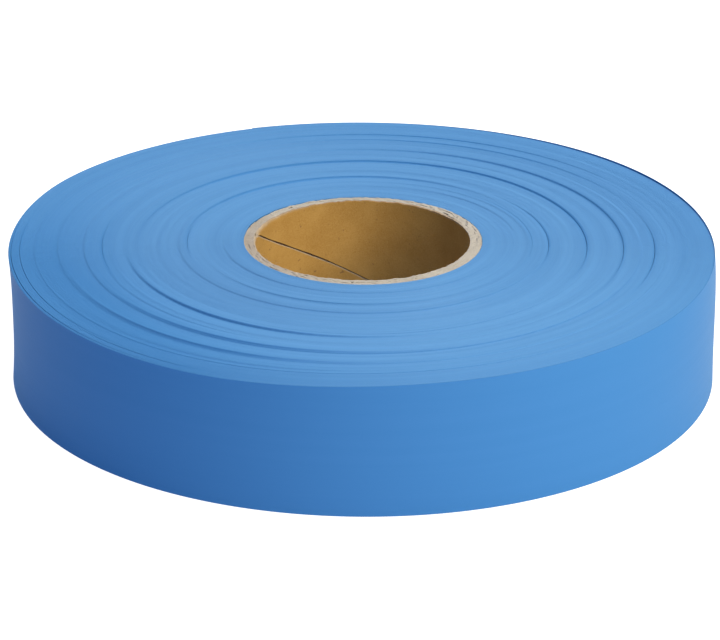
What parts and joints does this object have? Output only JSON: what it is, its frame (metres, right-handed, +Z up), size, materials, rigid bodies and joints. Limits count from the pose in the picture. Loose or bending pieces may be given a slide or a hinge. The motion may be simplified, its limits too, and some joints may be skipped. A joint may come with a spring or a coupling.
{
  "type": "flagging tape roll",
  "caption": "Roll of non-adhesive vinyl marking tape wound on a spiral paperboard core, lying flat, with a free end that peels off the outside.",
  "frame": {"origin": "on the roll's axis, at the plane it rests on", "axes": "+Z up the roll's axis from the rested face to the upper face; -Y is the side away from the free end; +X to the right seen from -Y"},
  "size_m": [0.1314, 0.1314, 0.0252],
  "materials": {
    "vinyl_film": "smooth glossy blue film; cut edges satin",
    "kraft_liner": "matte brown kraft paper with fine fibres",
    "core_board": "matte grey-beige board, frayed at the cut ends",
    "adhesive_tab": "matte paper label"
  },
  "bodies": {
    "roll": {"core_inner_liner": "kraft_liner", "core_body_ply_1": "core_board", "core_body_ply_2": "core_board", "core_body_ply_3": "core_board", "core_outer_liner": "kraft_liner", "start_tab": "adhesive_tab", "tape_band_1": "vinyl_film", "tape_band_2": "vinyl_film", "tape_band_3": "vinyl_film", "tape_band_4": "vinyl_film", "tape_band_5": "vinyl_film", "tape_band_6": "vinyl_film", "tape_band_7": "vinyl_film", "tape_band_8": "vinyl_film", "tape_band_9": "vinyl_film", "tape_outer_turn": "vinyl_film"},
    "free_end": {"tape_free_end": "vinyl_film"}
  },
  "joints": [
    {"name": "free_end_peel", "type": "hinge", "parent": "roll", "child": "free_end", "pos_m": [0.03282, 0.05684, 0.0125], "axis": [0, 0, -1], "range_deg": [0, 80]}
  ]
}
